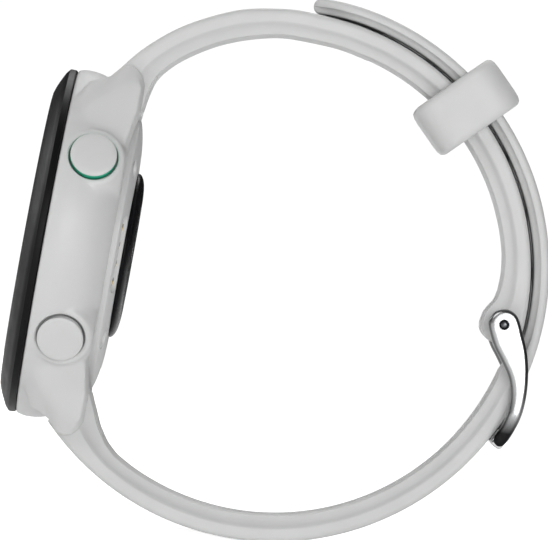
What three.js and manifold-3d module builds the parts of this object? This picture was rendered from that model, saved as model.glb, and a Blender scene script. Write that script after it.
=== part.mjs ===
// A round GPS running watch on its closed silicone strap, as an assembly of separate pieces.
// Millimetres. +X is the 3 o'clock side, -Y is the dial's front, +Y points into the wrist, +Z is 12 o'clock.
// The origin is the centre of the pulse sensor window, where the watch touches the wrist.
import * as THREE from 'three';
import { mergeVertices } from 'three/addons/utils/BufferGeometryUtils.js';
import Module from 'manifold-3d';

const wasm = await Module();
wasm.setup();

// ---- driving dimensions ----
const CASE = { frontY: -10.3, frontR: 20.75, bulgeY: -8.6, bulgeR: 20.95, beltY: -6.4, beltR: 20.45 };
const CAVITY = { r: 17.6, rearY: -4.7, throatR: 13.4 };
const COVER = { r: 16.2, gap: 0.25, seatY: -2.95, innerY: -2.85, backY: -1.1, holeR: 8 };
const BEZEL = { frontY: -12.75, rearY: -10.35, outerR: 20.7, mouthR: 16.8, ledgeY: -10.9, ledgeR: 15.6 };
const LENS = { r: 16.5, frontY: -12.68, rearY: -11.6 };
const SENSOR = { r: 9.9, spigotR: 7.7, spigotY: -2.1, rimY: -1.05 };
const SCREWS = { circleR: 14.5, headR: 1, shankR: 0.5, headY: -1.6, seatY: -2.15, tipY: -4.4, fit: 0.12 };
const PORT = { x: 13.45, halfX: 1.3, halfZ: 4.3, floorY: -1.95, faceY: -1.62, clear: 0.2 };
const CONTACT = { r: 0.5, pitch: 2.15, faceY: -1.5 };
const LUG = { rootHalf: 16.8, rootZ: 10, tipHalf: 12.5, tipZ: 20.3, slotHalf: 10.3, chamfer: 1.5, chamferDepth: 1.2 };
const BAR = { y: -3.5, z: 20.35, r: 0.85, boreR: 1.05, tipR: 0.5, tipX: 11.4, holeR: 0.65, holeX: 11.7 };
const DISPLAY = { r: 14, frontY: -11.45, rearY: -10.45 };
const TRAY = { r: 17.2, frontY: -10.2, rearY: -9.5 };
const CIRCUIT = { r: 16.9, frontY: -9.2, rearY: -8.4 };
const BATTERY = { half: 9, frontY: -6.75, thick: 3.2, lowZ: -7.5, highZ: 4.5, cornerR: 2 };
const ROUND_DRIVER = { r: 3.6, x: 5, z: 10.6 };
const BUTTON = { y: -6.35, r: 2.75, thick: 1.35, rimT: -0.45, skirtR: 2.6 };
const STEM = { r: 0.8, endT: -5.4, boreR: 1.4 };
const SEAT = { topT: -0.9, topR: 3.5, rootT: -4.5, rootR: 4.4, pocketR: 2.92, pocketT: -2.1 };
const ACCENT = { innerR: 2.1, rearT: -1.4 };
const LOOP = { y: 17, z: 1.8 };
const UPPER = { innerR: 27.25, outerR: 30.3 };
const LOWER = { innerR: 29.37, tailR: 30.7, outerR: 32.5, tipDeg: 452, lugDeg: 225, thinFrom: 347, thinTo: 354 };
const STRAP = { lugHalf: 10, farHalf: 9.4, edge: 0.5 };
const HOLES = { firstDeg: 348.5, pitchDeg: 13.6, halfLength: 3, halfWidth: 1.5, below: 6, above: 7 };
const PIN = { y: 44.85, z: 0.05, r: 0.55, halfLength: 11.3 };
const KNUCKLE = { r: UPPER.outerR - Math.hypot(PIN.y - LOOP.y, PIN.z - LOOP.z), boreR: 0.75, slotHalf: 1.5 };
const BUCKLE = { innerHalf: 9.8, outerHalf: 11.4, eyeR: 1.85, holeR: 0.65, barR: 33.53, barDeg: -27 };
const TONGUE = { halfWidth: 0.9, halfThick: 0.65, eyeR: 1.65, holeR: 0.7 };
const KEEPER = { deg: 50.4, leanDeg: -5.4, midR: 29.7, halfHigh: 5.7, halfWide: 11.7, halfLong: 3.25, wall: 1.9 };
const ROUND = 36;
const SMALL_ROUND = 12;
const BUTTON_ROUND = 16;

// ---- colours ----
const SHELL = { color: 0xd3d4d3, roughness: 0.5, metalness: 0 };
const RUBBER = { color: 0xcfd0ce, roughness: 0.75, metalness: 0 };
const BLACK = { color: 0x141415, roughness: 0.35, metalness: 0 };
const GLASS = { color: 0x0c0d10, roughness: 0.05, metalness: 0 };
const STEEL = { color: 0xc9cacb, roughness: 0.2, metalness: 1 };
const GOLD = { color: 0xd8b45c, roughness: 0.3, metalness: 1 };
const GREEN = { color: 0x2da078, roughness: 0.4, metalness: 0 };
const BOARD = { color: 0x1d4a33, roughness: 0.5, metalness: 0 };
const FOIL = { color: 0x9fa3a8, roughness: 0.4, metalness: 0.6 };

const watch = new THREE.Group();
const X_OUTWARD = new THREE.Matrix4().makeBasis(
  new THREE.Vector3(0, 1, 0), new THREE.Vector3(0, 0, 1), new THREE.Vector3(1, 0, 0));

// ---- helpers ----
function addPart(name, geometry, look, parent = watch) {
  const mesh = new THREE.Mesh(geometry, new THREE.MeshStandardMaterial(look));
  mesh.name = name;
  parent.add(mesh);
  return mesh;
}

function solid(geometry) {
  const bare = geometry.clone();
  bare.deleteAttribute('normal');
  bare.deleteAttribute('uv');
  const merged = mergeVertices(bare, 1e-4);
  return new wasm.Manifold(new wasm.Mesh({
    numProp: 3,
    vertProperties: new Float32Array(merged.attributes.position.array),
    triVerts: new Uint32Array(merged.index.array),
  }));
}

function toGeometry(manifold) {
  const mesh = manifold.getMesh();
  const geometry = new THREE.BufferGeometry();
  geometry.setAttribute('position', new THREE.BufferAttribute(mesh.vertProperties, 3));
  geometry.setIndex(new THREE.BufferAttribute(mesh.triVerts, 1));
  return geometry.toNonIndexed();
}

function join(...geometries) {
  return toGeometry(geometries.map(solid).reduce((sum, next) => sum.add(next)));
}

function cut(body, ...tools) {
  return toGeometry(tools.map(solid).reduce((rest, tool) => rest.subtract(tool), solid(body)));
}

// A ring or disc turned about the Y axis; the profile is [radius, y] pairs.
function turned(profile, segments = ROUND) {
  const closed = profile[0][0] > 0 || profile.at(-1)[0] > 0;
  const points = closed ? [...profile, profile[0]] : profile;
  const area = points.reduce((sum, [r, y], i) => {
    const [nextR, nextY] = points[(i + 1) % points.length];
    return sum + r * nextY - nextR * y;
  }, 0);
  const ordered = area > 0 ? points : [...points].reverse();
  return new THREE.LatheGeometry(ordered.map(([r, y]) => new THREE.Vector2(r, y)), segments);
}

function ring(innerR, outerR, y0, y1, segments = ROUND) {
  return turned([[innerR, y0], [outerR, y0], [outerR, y1], [innerR, y1]], segments);
}

function disc(r, y0, y1, segments = ROUND) {
  return turned([[0, y0], [r, y0], [r, y1], [0, y1]], segments);
}

function block(x0, x1, y0, y1, z0, z1) {
  const box = new THREE.BoxGeometry(x1 - x0, y1 - y0, z1 - z0);
  return box.translate((x0 + x1) / 2, (y0 + y1) / 2, (z0 + z1) / 2);
}

// The outline's points, without those that repeat where one stretch meets the next.
function distinctPoints(shape, curveSegments) {
  const points = shape.getPoints(curveSegments);
  return points.filter((point, i) => point.distanceTo(points[(i + 1) % points.length]) > 0.05);
}

// A side-view outline (shape x is Y, shape y is Z) stretched across the watch from x0 to x1.
function across(shape, x0, x1, edge = 0, edgeDepth = edge, curveSegments = 12) {
  const clean = new THREE.Shape(distinctPoints(shape, curveSegments));
  const options = { depth: x1 - x0 - 2 * edgeDepth, bevelEnabled: edge > 0, bevelSegments: 1 };
  Object.assign(options, { bevelSize: edge, bevelOffset: -edge, bevelThickness: edgeDepth });
  return new THREE.ExtrudeGeometry(clean, options).translate(0, 0, x0 + edgeDepth).applyMatrix4(X_OUTWARD);
}

function rodX(y, z, r, x0, x1, segments = SMALL_ROUND) {
  const rod = new THREE.CylinderGeometry(r, r, x1 - x0, segments).rotateZ(Math.PI / 2);
  return rod.translate((x0 + x1) / 2, y, z);
}

function rodY(x, z, r, y0, y1, segments = SMALL_ROUND) {
  return new THREE.CylinderGeometry(r, r, y1 - y0, segments).translate(x, (y0 + y1) / 2, z);
}

const radians = THREE.MathUtils.degToRad;
const onLoop = (r, deg) => [LOOP.y + r * Math.cos(radians(deg)), LOOP.z + r * Math.sin(radians(deg))];
const vectors = (pairs) => pairs.map(([y, z]) => new THREE.Vector2(y, z));

function outline(pairs) {
  return new THREE.Shape(vectors(pairs));
}

function loopArc(shape, r, fromDeg, toDeg) {
  shape.absarc(LOOP.y, LOOP.z, r, radians(fromDeg), radians(toDeg), toDeg < fromDeg);
}

// ---- placing the buttons: local +Y points outwards from the case, 0 is the face's middle ----
const BUTTONS = [
  { name: 'start', side: 1, x: 18.5, z: 11.15, tilt: 24 },
  { name: 'back', side: 1, x: 18.5, z: -11.15, tilt: -24 },
  { name: 'light', side: -1, x: 18.5, z: 11.15, tilt: 24 },
  { name: 'up', side: -1, x: 21.6, z: 0, tilt: 0 },
  { name: 'down', side: -1, x: 18.5, z: -11.15, tilt: -24 },
];

function buttonPlace({ side, x, z, tilt }) {
  const outward = new THREE.Vector3(side * Math.cos(radians(tilt)), 0, Math.sin(radians(tilt)));
  const up = new THREE.Vector3(0, 1, 0);
  const place = new THREE.Matrix4().makeBasis(up, outward, new THREE.Vector3().crossVectors(up, outward));
  return place.setPosition(side * x, BUTTON.y, z);
}

// Stretches or squeezes a piece across the watch, by the half width wanted at each of its points.
function fitWidth(geometry, builtHalf, halfWidthAt) {
  const points = geometry.attributes.position;
  for (let i = 0; i < points.count; i += 1) {
    points.setX(i, points.getX(i) * halfWidthAt(points.getY(i), points.getZ(i)) / builtHalf);
  }
  return geometry;
}

// ---- case ----
function lugWidth(y, z) {
  const reach = THREE.MathUtils.clamp((Math.abs(z) - LUG.rootZ) / (LUG.tipZ - LUG.rootZ), 0, 1);
  return THREE.MathUtils.lerp(LUG.rootHalf, LUG.tipHalf, reach);
}

function lugBlock(sign) {
  const shape = outline([
    [-9.7, 10], [-9.7, 17.3], [-8.4, 19.6], [-6.3, 20.5], [-5, 21.95], [-4.1, 22.25], [-3.2, 22],
    [-2.3, 20.9], [-1.95, 19.9], [-2.05, 16.9], [-3.2, 10],
  ].map(([y, z]) => [y, sign * z]));
  const blank = across(shape, -LUG.tipHalf, LUG.tipHalf, LUG.chamfer, LUG.chamferDepth);
  return fitWidth(blank, LUG.tipHalf, lugWidth);
}

function strapSlot(sign) {
  const shape = outline([[-6.35, 20.5], [-2.1, 16.7], [1, 16.7], [1, 26], [-6.35, 26]]
    .map(([y, z]) => [y, sign * z]));
  return across(shape, -LUG.slotHalf, LUG.slotHalf);
}

function buttonSeat(button) {
  const cone = turned([[0, SEAT.rootT], [SEAT.rootR, SEAT.rootT], [SEAT.topR, SEAT.topT], [0, SEAT.topT]], 14);
  const slab = block(-30, 30, CASE.frontY, -2.7, -30, 30);
  return toGeometry(solid(cone.applyMatrix4(buttonPlace(button))).intersect(solid(slab)));
}

function buttonBore(button) {
  const pocket = turned([
    [0, -8], [STEM.boreR, -8], [STEM.boreR, SEAT.pocketT], [SEAT.pocketR, SEAT.pocketT], [SEAT.pocketR, 2], [0, 2],
  ], BUTTON_ROUND);
  return pocket.applyMatrix4(buttonPlace(button));
}

function screwSpots() {
  return [45, 135, 225, 315].map((deg) =>
    [SCREWS.circleR * Math.cos(radians(deg)), SCREWS.circleR * Math.sin(radians(deg))]);
}

function caseBody() {
  const barrel = turned([
    [0, CASE.frontY], [CASE.frontR, CASE.frontY], [CASE.bulgeR, CASE.bulgeY], [CASE.beltR, CASE.beltY],
    [20, -5.2], [19.2, -4.1], [18, -3.2], [16.95, -2.6], [COVER.r + COVER.gap, -2.45], [0, -2.45],
  ]);
  const shell = join(barrel, lugBlock(1), lugBlock(-1), ...BUTTONS.map(buttonSeat));
  const hollow = turned([
    [0, CASE.frontY - 1], [CAVITY.r, CASE.frontY - 1], [CAVITY.r, CAVITY.rearY],
    [CAVITY.throatR, CAVITY.rearY], [CAVITY.throatR, COVER.seatY], [COVER.r + COVER.gap, COVER.seatY],
    [COVER.r + COVER.gap, 0], [0, 0],
  ]);
  const sealGroove = ring(15.25, 15.95, -3.35, COVER.seatY + 0.1);
  const barHoles = [BAR.z, -BAR.z].map((z) => rodX(BAR.y, z, BAR.holeR, -BAR.holeX, BAR.holeX, 12));
  const screwHoles = screwSpots().map(([x, z]) => rodY(x, z, SCREWS.shankR + SCREWS.fit, -6, 0, 12));
  return cut(shell, hollow, sealGroove, strapSlot(1), strapSlot(-1), ...BUTTONS.map(buttonBore),
    ...barHoles, ...screwHoles);
}

// ---- front: bezel, lens and display ----
function bezel() {
  return turned([
    [BEZEL.ledgeR, BEZEL.rearY], [BEZEL.outerR, BEZEL.rearY], [BEZEL.outerR, -11.15], [19.5, -11.9],
    [18.6, -12.4], [17.7, -12.7], [BEZEL.mouthR + 0.2, BEZEL.frontY], [BEZEL.mouthR, -12.6],
    [BEZEL.mouthR, BEZEL.ledgeY], [BEZEL.ledgeR, BEZEL.ledgeY],
  ]);
}

function lens() {
  return turned([[0, LENS.rearY], [LENS.r, LENS.rearY], [LENS.r, LENS.frontY + 0.3], [LENS.r - 0.3, LENS.frontY],
    [0, LENS.frontY]]);
}

function dialRing() {
  return turned([[14.2, -10.75], [15.35, -10.75], [15.35, -11.45], [15.1, -11.45], [14.2, -11.05]]);
}

function displayFrame() {
  const plate = disc(TRAY.r, TRAY.frontY, TRAY.rearY);
  return cut(plate, block(-3.5, 3.5, -11, -9, -15.5, -12.5));
}

function mainBoard() {
  const plate = disc(CIRCUIT.r, CIRCUIT.frontY, CIRCUIT.rearY);
  return cut(plate, block(-4, 4, -10, -8, -17.5, -14));
}

function antenna() {
  const strip = new THREE.Shape();
  strip.absarc(0, 0, 17.2, radians(58), radians(122), false);
  strip.absarc(0, 0, 16.2, radians(122), radians(58), true);
  const flat = new THREE.ExtrudeGeometry(strip, { depth: 2.8, bevelEnabled: false, curveSegments: 8 });
  return flat.rotateX(Math.PI / 2).translate(0, -5.3, 0);
}

function batteryCell() {
  const { half, cornerR, lowZ, highZ } = BATTERY;
  const cell = new THREE.Shape();
  cell.absarc(half - cornerR, highZ, cornerR, 0, Math.PI / 2, false);
  cell.absarc(cornerR - half, highZ, cornerR, Math.PI / 2, Math.PI, false);
  cell.absarc(cornerR - half, lowZ, cornerR, Math.PI, 1.5 * Math.PI, false);
  cell.absarc(half - cornerR, lowZ, cornerR, 1.5 * Math.PI, 2 * Math.PI, false);
  const flat = new THREE.ExtrudeGeometry(cell, { depth: BATTERY.thick, bevelEnabled: false, curveSegments: 3 });
  return flat.rotateX(-Math.PI / 2).translate(0, BATTERY.frontY, 0).rotateY(Math.PI);
}

// ---- back: cover, sensor, charging port and screws ----
function rearCover() {
  const plate = turned([
    [COVER.holeR, COVER.innerY], [COVER.r, COVER.innerY], [COVER.r, -1.95], [COVER.r - 0.2, -1.75],
    [15, -1.5], [13.5, -1.23], [12, COVER.backY], [COVER.holeR, COVER.backY],
  ]);
  const port = block(PORT.x - PORT.halfX - PORT.clear, PORT.x + PORT.halfX + PORT.clear, PORT.floorY, 0,
    -PORT.halfZ - PORT.clear, PORT.halfZ + PORT.clear);
  const screwHoles = screwSpots().flatMap(([x, z]) => [
    rodY(x, z, SCREWS.headR + SCREWS.fit, SCREWS.seatY - 0.05, 0, 12),
    rodY(x, z, SCREWS.shankR + SCREWS.fit, -4, 0, 12),
  ]);
  return cut(plate, port, ...screwHoles);
}

function screw() {
  const body = turned([
    [0, SCREWS.tipY], [SCREWS.shankR * 0.5, SCREWS.tipY], [SCREWS.shankR, SCREWS.tipY + 0.35],
    [SCREWS.shankR, SCREWS.seatY], [SCREWS.headR, SCREWS.seatY], [SCREWS.headR, SCREWS.headY - 0.12],
    [SCREWS.headR - 0.15, SCREWS.headY], [0, SCREWS.headY],
  ], 12);
  return cut(body, rodY(0, 0, SCREWS.headR * 0.5, SCREWS.headY - 0.3, 0, 6));
}

function sensorWindow() {
  return turned([
    [0, SENSOR.spigotY], [SENSOR.spigotR, SENSOR.spigotY], [SENSOR.spigotR, SENSOR.rimY],
    [SENSOR.r, SENSOR.rimY], [SENSOR.r - 0.1, -0.8], [9.2, -0.35], [8.5, -0.12], [7.5, 0], [0, 0],
  ]);
}

const contactSpots = [-1.5, -0.5, 0.5, 1.5].map((step) => step * CONTACT.pitch);

function chargePort() {
  const insulator = block(PORT.x - PORT.halfX, PORT.x + PORT.halfX, PORT.floorY + 0.05, PORT.faceY,
    -PORT.halfZ, PORT.halfZ);
  return cut(insulator, ...contactSpots.map((z) => rodY(PORT.x, z, CONTACT.r + 0.1, -3, 0, 12)));
}

// ---- button pieces, in the button's own frame ----
// The cap's face and rim sit on a slimmer skirt; on the start button a coloured ring fills the step.
function buttonCap(skirtR) {
  return turned([
    [0, STEM.endT], [STEM.r, STEM.endT], [STEM.r, -BUTTON.thick], [skirtR, -BUTTON.thick],
    [skirtR, BUTTON.rimT], [BUTTON.r, BUTTON.rimT], [BUTTON.r, -0.3], [2.5, -0.1], [0, 0],
  ], BUTTON_ROUND);
}

function buttonSeal() {
  return turned([[0.85, -3.1], [1.08, -3.25], [1.3, -3.1], [1.3, -2.85], [1.08, -2.7], [0.85, -2.85]], 12);
}

function buttonClip() {
  const openDeg = 35;
  const shape = new THREE.Shape();
  shape.absarc(0, 0, 1.35, radians(openDeg), radians(360 - openDeg), false);
  shape.absarc(0, 0, 0.9, radians(360 - openDeg), radians(openDeg), true);
  const clip = new THREE.ExtrudeGeometry(shape, { depth: 0.3, bevelEnabled: false, curveSegments: 8 });
  return clip.rotateX(Math.PI / 2).translate(0, -4.6, 0);
}

function accentRing() {
  const play = 0.03;
  return ring(ACCENT.innerR + play, BUTTON.r, ACCENT.rearT, BUTTON.rimT - play, BUTTON_ROUND);
}

function addButton(button) {
  const ringed = button.name === 'start';
  const group = new THREE.Group();
  buttonPlace(button).decompose(group.position, group.quaternion, group.scale);
  watch.add(group);
  addPart(`${button.name}_button`, buttonCap(ringed ? ACCENT.innerR : BUTTON.skirtR), SHELL, group);
  addPart(`${button.name}_button_seal`, buttonSeal(), BLACK, group);
  addPart(`${button.name}_button_clip`, buttonClip(), STEEL, group);
  addPart(`${button.name}_switch`, block(-1.2, 1.2, -7.6, -6.3, -1.6, 1.6), BLACK, group);
  if (ringed) {
    addPart('start_accent_ring', accentRing(), GREEN, group);
  }
}

// ---- strap ----
function strapWidth(y) {
  return THREE.MathUtils.lerp(STRAP.lugHalf, STRAP.farHalf, THREE.MathUtils.clamp((y - 2) / 20, 0, 1));
}

// The end that sits between the lugs: the bore for the spring bar and the notch for its release knob.
function lugEndCuts(sign) {
  const bore = rodX(BAR.y, sign * BAR.z, BAR.boreR, -12, 12);
  const notch = block(5.2, 8.3, BAR.y, 2, sign * BAR.z - 1.2, sign * BAR.z + 1.2);
  return [bore, notch];
}

function upperBand() {
  const shape = new THREE.Shape();
  const shoulder = onLoop(UPPER.outerR, 80);
  const inside = onLoop(UPPER.innerR, 85);
  shape.moveTo(-6.1, 20.7);
  shape.lineTo(-5.2, 21.85);
  shape.bezierCurveTo(-3.35, 24.2, shoulder[0] - 18.2, shoulder[1] + 3.2, ...shoulder);
  loopArc(shape, UPPER.outerR, 80, -3.6);
  shape.absarc(PIN.y, PIN.z, KNUCKLE.r, radians(-3.6), radians(-210), true);
  shape.quadraticCurveTo(43.5, 3, ...onLoop(UPPER.innerR, 8.5));
  loopArc(shape, UPPER.innerR, 8.5, 85);
  shape.bezierCurveTo(inside[0] - 13.4, inside[1] + 1.2, -0.9, 23, -1.45, 20);
  shape.lineTo(-1.9, 16.95);
  const blank = across(shape, -STRAP.lugHalf, STRAP.lugHalf, STRAP.edge, STRAP.edge, 11);
  const tongueSlot = block(-KNUCKLE.slotHalf, KNUCKLE.slotHalf, 40, 49, -4, 3.2);
  return cut(fitWidth(blank, STRAP.lugHalf, strapWidth), ...lugEndCuts(1), tongueSlot,
    rodX(PIN.y, PIN.z, KNUCKLE.boreR, -12, 12));
}

function strapHole(deg) {
  const [y, z] = onLoop(31, deg);
  const slot = new THREE.Shape();
  const run = HOLES.halfLength - HOLES.halfWidth;
  slot.absarc(0, run, HOLES.halfWidth, 0, Math.PI, false);
  slot.absarc(0, -run, HOLES.halfWidth, Math.PI, 2 * Math.PI, false);
  const tool = new THREE.ExtrudeGeometry(slot, { depth: 8, bevelEnabled: false, curveSegments: 2 });
  tool.translate(0, 0, -4);
  const radial = new THREE.Vector3(0, Math.cos(radians(deg)), Math.sin(radians(deg)));
  const along = new THREE.Vector3(0, -radial.z, radial.y);
  const sideways = new THREE.Vector3().crossVectors(along, radial);
  return tool.applyMatrix4(new THREE.Matrix4().makeBasis(sideways, along, radial).setPosition(0, y, z));
}

// The tail's end is rounded in plan over its last stretch.
function lowerWidth(y, z) {
  const deg = THREE.MathUtils.radToDeg(Math.atan2(z - LOOP.z, y - LOOP.y));
  const toTip = radians(LOWER.tipDeg - 360 - deg) * LOWER.outerR;
  const full = strapWidth(y);
  const roundLength = 7;
  if (deg < 0 || toTip > roundLength) return full;
  const rise = 1 - Math.max(toTip, 0.15) / roundLength;
  return full * Math.sqrt(1 - rise * rise);
}

function lowerBand() {
  const shape = new THREE.Shape();
  shape.moveTo(-6.1, -20.7);
  loopArc(shape, LOWER.outerR, LOWER.lugDeg, LOWER.tipDeg - 1);
  shape.lineTo(...onLoop(LOWER.outerR - 0.5, LOWER.tipDeg));
  shape.lineTo(...onLoop(LOWER.tailR + 0.5, LOWER.tipDeg));
  loopArc(shape, LOWER.tailR, LOWER.tipDeg - 1, LOWER.thinTo);
  shape.lineTo(...onLoop(LOWER.innerR, LOWER.thinFrom));
  loopArc(shape, LOWER.innerR, LOWER.thinFrom, 236);
  shape.lineTo(-0.7, -21);
  shape.lineTo(-1.5, -19.5);
  shape.lineTo(-1.9, -16.95);
  const blank = across(shape, -STRAP.lugHalf, STRAP.lugHalf, STRAP.edge, STRAP.edge, 16);
  const holes = [];
  for (let i = -HOLES.below; i < HOLES.above; i += 1) {
    holes.push(strapHole(HOLES.firstDeg + i * HOLES.pitchDeg));
  }
  return cut(fitWidth(blank, STRAP.lugHalf, lowerWidth), ...lugEndCuts(-1), ...holes);
}

// ---- quick-release spring bars: a barrel with one fixed tip, and a sliding tip with its knob ----
function barBarrel(z) {
  const barrel = join(rodX(BAR.y, z, BAR.r, -9.9, 4.4), rodX(BAR.y, z, BAR.tipR, -BAR.tipX, -9));
  return cut(barrel, rodX(BAR.y, z, 0.6, -1, 6));
}

function barSlider(z) {
  const knob = block(6.4, 7.9, BAR.y, -1.6, z - 0.8, z + 0.8);
  return join(rodX(BAR.y, z, BAR.r, 6, 9.8), rodX(BAR.y, z, BAR.tipR, 9, BAR.tipX),
    rodX(BAR.y, z, 0.45, 0.5, 7), knob);
}

// ---- buckle ----
function buckleArm() {
  const shape = new THREE.Shape();
  shape.absarc(PIN.y, PIN.z, BUCKLE.eyeR, radians(205), radians(40), true);
  shape.splineThru(vectors([[47.4, -1], [48.4, -3.8], [48.95, -7.8], [48.5, -11.2], [47.75, -13.6]]));
  shape.quadraticCurveTo(47.3, -14.5, 46.5, -14.1);
  shape.lineTo(46.05, -13.3);
  shape.splineThru(vectors([[46.95, -11.2], [47.2, -8.6], [46.1, -5.4], [43.9, -2.2]]));
  return shape;
}

function crossbar() {
  const radial = 0.73;
  const half = 1.1;
  const bar = block(-BUCKLE.outerHalf + 0.4, BUCKLE.outerHalf - 0.4, -radial, radial, -half, half);
  const [y, z] = onLoop(BUCKLE.barR, BUCKLE.barDeg);
  return bar.rotateX(radians(BUCKLE.barDeg)).translate(0, y, z);
}

function tongueRest() {
  const [y, z] = onLoop(BUCKLE.barR + 1.05, BUCKLE.barDeg);
  return block(-TONGUE.halfWidth - 0.3, TONGUE.halfWidth + 0.3, -1.35, 1, -3, 3)
    .rotateX(radians(BUCKLE.barDeg)).translate(0, y, z);
}

function buckleFrame() {
  const arms = [[BUCKLE.innerHalf, BUCKLE.outerHalf], [-BUCKLE.outerHalf, -BUCKLE.innerHalf]]
    .map(([x0, x1]) => across(buckleArm(), x0, x1, 0.25, 0.25, 3));
  return cut(join(...arms, crossbar()), tongueRest(), rodX(PIN.y, PIN.z, BUCKLE.holeR, -13, 13));
}

function tongue() {
  const path = new THREE.SplineCurve(vectors([
    onLoop(28.6, -5), onLoop(29.6, -7.4), onLoop(31.5, -11.2), onLoop(33.3, -15.6), onLoop(33.8, -21.5),
    onLoop(33.95, -28.6),
  ]));
  const steps = 11;
  const upper = [];
  const lower = [];
  for (let i = 0; i <= steps; i += 1) {
    const point = path.getPoint(i / steps);
    const tangent = path.getTangent(i / steps);
    const thin = TONGUE.halfThick * (i > steps - 3 ? 0.62 : 1);
    upper.push([point.x - tangent.y * thin, point.y + tangent.x * thin]);
    lower.unshift([point.x + tangent.y * thin, point.y - tangent.x * thin]);
  }
  const bar = across(outline([...upper, ...lower]), -TONGUE.halfWidth, TONGUE.halfWidth);
  const eye = rodX(PIN.y, PIN.z, TONGUE.eyeR, -TONGUE.halfWidth, TONGUE.halfWidth);
  return cut(join(bar, eye), rodX(PIN.y, PIN.z, TONGUE.holeR, -13, 13));
}

// ---- keeper loop: a rounded frame across the strap, as long as its band along the strap ----
function roundedRect(shape, halfA, halfB, r) {
  shape.absarc(halfA - r, halfB - r, r, 0, Math.PI / 2, false);
  shape.absarc(r - halfA, halfB - r, r, Math.PI / 2, Math.PI, false);
  shape.absarc(r - halfA, r - halfB, r, Math.PI, 1.5 * Math.PI, false);
  shape.absarc(halfA - r, r - halfB, r, 1.5 * Math.PI, 2 * Math.PI, false);
  return shape;
}

function keeperLoop() {
  const edge = 0.6;
  const frame = roundedRect(new THREE.Shape(), KEEPER.halfHigh, KEEPER.halfWide, 1.6);
  frame.holes.push(roundedRect(new THREE.Path(), KEEPER.halfHigh - KEEPER.wall, KEEPER.halfWide - KEEPER.wall, 0.6));
  const options = { depth: 2 * (KEEPER.halfLong - edge), curveSegments: 4, bevelSegments: 1 };
  Object.assign(options, { bevelSize: edge, bevelOffset: -edge, bevelThickness: edge });
  const loop = new THREE.ExtrudeGeometry(frame, options).translate(0, 0, edge - KEEPER.halfLong);
  const lean = radians(KEEPER.deg + KEEPER.leanDeg);
  const radial = new THREE.Vector3(0, Math.cos(lean), Math.sin(lean));
  const sideways = new THREE.Vector3(1, 0, 0);
  const along = new THREE.Vector3().crossVectors(radial, sideways);
  const [y, z] = onLoop(KEEPER.midR, KEEPER.deg);
  return loop.applyMatrix4(new THREE.Matrix4().makeBasis(radial, sideways, along).setPosition(0, y, z));
}

// ---- assembly ----
addPart('case', caseBody(), SHELL);
addPart('bezel', bezel(), BLACK);
addPart('lens', lens(), GLASS);
addPart('lens_gasket', ring(15.8, 16.4, -11.45, -11.05), BLACK);
addPart('dial_ring', dialRing(), BLACK);
addPart('display', disc(DISPLAY.r, DISPLAY.frontY, DISPLAY.rearY), GLASS);
addPart('display_frame', displayFrame(), BLACK);
addPart('main_board', mainBoard(), BOARD);
addPart('shield_can', block(-7.5, 7.5, -8.25, -7, -8, 3.5), STEEL);
addPart('gps_antenna', antenna(), BLACK);
addPart('battery', batteryCell(), FOIL);
addPart('vibration_motor', rodY(-ROUND_DRIVER.x, ROUND_DRIVER.z, ROUND_DRIVER.r, -7.8, -5.1, 24), STEEL);
addPart('beeper', rodY(ROUND_DRIVER.x, ROUND_DRIVER.z, ROUND_DRIVER.r, -7.6, -5.4, 24), BLACK);
addPart('sensor_board', disc(7.4, -3.1, -2.65, 24), BOARD);
addPart('sensor_emitters', block(-3.2, 3.2, -2.6, -2.2, -1, 1), GOLD);
addPart('sensor_window', sensorWindow(), GLASS);
addPart('rear_cover', rearCover(), SHELL);
addPart('rear_seal', ring(15.35, 15.85, -3.3, -2.92), BLACK);
screwSpots().forEach(([x, z], i) => {
  addPart(`rear_screw_${i + 1}`, screw(), STEEL).position.set(x, 0, z);
});
addPart('charge_port', chargePort(), BLACK);
contactSpots.forEach((z, i) => {
  addPart(`charge_contact_${i + 1}`, rodY(PORT.x, z, CONTACT.r, PORT.floorY + 0.08, CONTACT.faceY, 12), GOLD);
});
BUTTONS.forEach(addButton);
addPart('upper_band', upperBand(), RUBBER);
addPart('lower_band', lowerBand(), RUBBER);
addPart('upper_bar_barrel', barBarrel(BAR.z), STEEL);
addPart('upper_bar_slider', barSlider(BAR.z), STEEL);
addPart('lower_bar_barrel', barBarrel(-BAR.z), STEEL);
addPart('lower_bar_slider', barSlider(-BAR.z), STEEL);
addPart('buckle_frame', buckleFrame(), STEEL);
addPart('buckle_pin', rodX(PIN.y, PIN.z, PIN.r, -PIN.halfLength, PIN.halfLength), STEEL);
addPart('buckle_tongue', tongue(), STEEL);
addPart('keeper', keeperLoop(), RUBBER);

export default watch;
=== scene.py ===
"""Looks for the GPS running watch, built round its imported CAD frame.

Shapes are in millimetres until they reach a mesh, where MM turns them into metres. Bump depths, the
fades in a material, the camera and the lights are in metres from the start.
+X is the 3 o'clock side, -Y the dial's front, +Y the wrist side, +Z is 12 o'clock.
"""

import math

import bmesh
import bpy
import numpy as np
from mathutils import Matrix, Vector


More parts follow.
